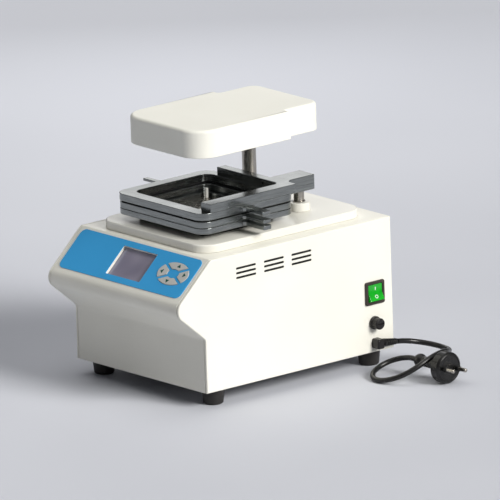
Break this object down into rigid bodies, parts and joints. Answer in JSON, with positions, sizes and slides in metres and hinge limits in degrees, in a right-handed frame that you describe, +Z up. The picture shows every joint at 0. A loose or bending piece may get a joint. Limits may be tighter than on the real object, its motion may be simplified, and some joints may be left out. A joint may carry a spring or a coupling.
{
  "type": "cup sealing machine",
  "caption": "Desktop heat sealer: heated head on a lift column presses film onto a cup or tray held under a swing-open clamp frame.",
  "frame": {"origin": "centre of the footprint of everything but the mains lead, on the surface the feet stand on", "axes": "+X to the operator's right, +Y from the control slope at the front to the rear panel, +Z up"},
  "size_m": [0.38, 0.3738, 0.32],
  "materials": {
    "housing_white": "semi-gloss powder coat, warm white",
    "platform_white": "glossy off-white",
    "head_white": "satin warm white",
    "overlay_blue": "matt printed film, mid blue",
    "key_grey": "matt light grey with dark green arrows",
    "screen_grey": "unlit display behind a clear window",
    "milled_aluminium": "brushed, slightly dark",
    "ground_steel": "ground round bar",
    "zinc_steel": "zinc-plated sheet",
    "pin_nylon": "natural nylon",
    "bush_bronze": "sintered bronze",
    "foot_rubber": "matt black rubber",
    "black_plastic": "fine-grained black moulding",
    "cord_black": "soft black PVC",
    "seal_silicone": "black silicone",
    "rocker_green": "translucent green, lit",
    "board_green": "solder resist",
    "insulation": "mica-coloured board"
  },
  "bodies": {
    "housing": {"front_top_cover": "housing_white", "side_panel_left": "housing_white", "side_panel_right": "housing_white", "rear_panel": "housing_white", "platform": "platform_white", "post_boss": "platform_white", "lcd_frame": "platform_white", "panel_overlay": "overlay_blue", "lcd_lens": "screen_grey", "bottom_frame": "milled_aluminium", "middle_frame": "milled_aluminium", "finger_tab_bottom": "milled_aluminium", "finger_tab_middle": "milled_aluminium", "guide_tube": "milled_aluminium", "swing_post": "ground_steel", "nest_plate": "ground_steel", "plug_pin_front": "ground_steel", "plug_pin_rear": "ground_steel", "base_plate": "zinc_steel", "power_supply": "zinc_steel", "drive_motor": "zinc_steel", "nest_pin_front_left": "pin_nylon", "nest_pin_front_right": "pin_nylon", "nest_pin_rear_left": "pin_nylon", "nest_pin_rear_right": "pin_nylon", "column_bush": "bush_bronze", "foot_front_left": "foot_rubber", "foot_front_right": "foot_rubber", "foot_rear_left": "foot_rubber", "foot_rear_right": "foot_rubber", "switch_housing": "black_plastic", "fuse_holder": "black_plastic", "cord_gland": "black_plastic", "lcd_module": "black_plastic", "frame_riser": "black_plastic", "power_cord": "cord_black", "cord_strain_relief": "cord_black", "plug_boot": "cord_black", "plug_body": "cord_black", "frame_seal": "seal_silicone", "control_board": "board_green"},
    "press_head": {"press_column": "ground_steel", "head_cover": "head_white", "head_base_plate": "milled_aluminium", "heater_platen": "milled_aluminium", "insulation_board": "insulation", "head_bracket": "milled_aluminium"},
    "clamp": {"clamp_frame": "milled_aluminium", "swing_arm": "milled_aluminium", "finger_tab_upper": "milled_aluminium", "finger_tab_left": "milled_aluminium"},
    "rocker": {"switch_rocker": "rocker_green"},
    "fuse_cap_body": {"fuse_cap": "black_plastic"},
    "key_up_body": {"key_up": "key_grey"},
    "key_down_body": {"key_down": "key_grey"},
    "key_left_body": {"key_left": "key_grey"},
    "key_right_body": {"key_right": "key_grey"}
  },
  "joints": [
    {"name": "press_slide", "type": "slide", "parent": "housing", "child": "press_head", "axis": [0, 0, 1], "range_m": [-0.046, 0]},
    {"name": "clamp_swing", "type": "hinge", "parent": "housing", "child": "clamp", "pos_m": [0.041, 0.08623, 0.22], "axis": [0, 0, 1], "range_deg": [0, 90]},
    {"name": "rocker_tilt", "type": "hinge", "parent": "housing", "child": "rocker", "pos_m": [0.1148, 0.13653, 0.0922], "axis": [0, 1, 0], "range_deg": [0, 28]},
    {"name": "fuse_turn", "type": "hinge", "parent": "housing", "child": "fuse_cap_body", "pos_m": [0.122, 0.13523, 0.0556], "axis": [1, 0, 0], "range_deg": [0, 90]},
    {"name": "key_up_press", "type": "slide", "parent": "housing", "child": "key_up_body", "axis": [0, 0.6754, -0.7375], "range_m": [0, 0.0008], "stiffness_N_per_m": 400},
    {"name": "key_down_press", "type": "slide", "parent": "housing", "child": "key_down_body", "axis": [0, 0.6754, -0.7375], "range_m": [0, 0.0008], "stiffness_N_per_m": 400},
    {"name": "key_left_press", "type": "slide", "parent": "housing", "child": "key_left_body", "axis": [0, 0.6754, -0.7375], "range_m": [0, 0.0008], "stiffness_N_per_m": 400},
    {"name": "key_right_press", "type": "slide", "parent": "housing", "child": "key_right_body", "axis": [0, 0.6754, -0.7375], "range_m": [0, 0.0008], "stiffness_N_per_m": 400}
  ]
}
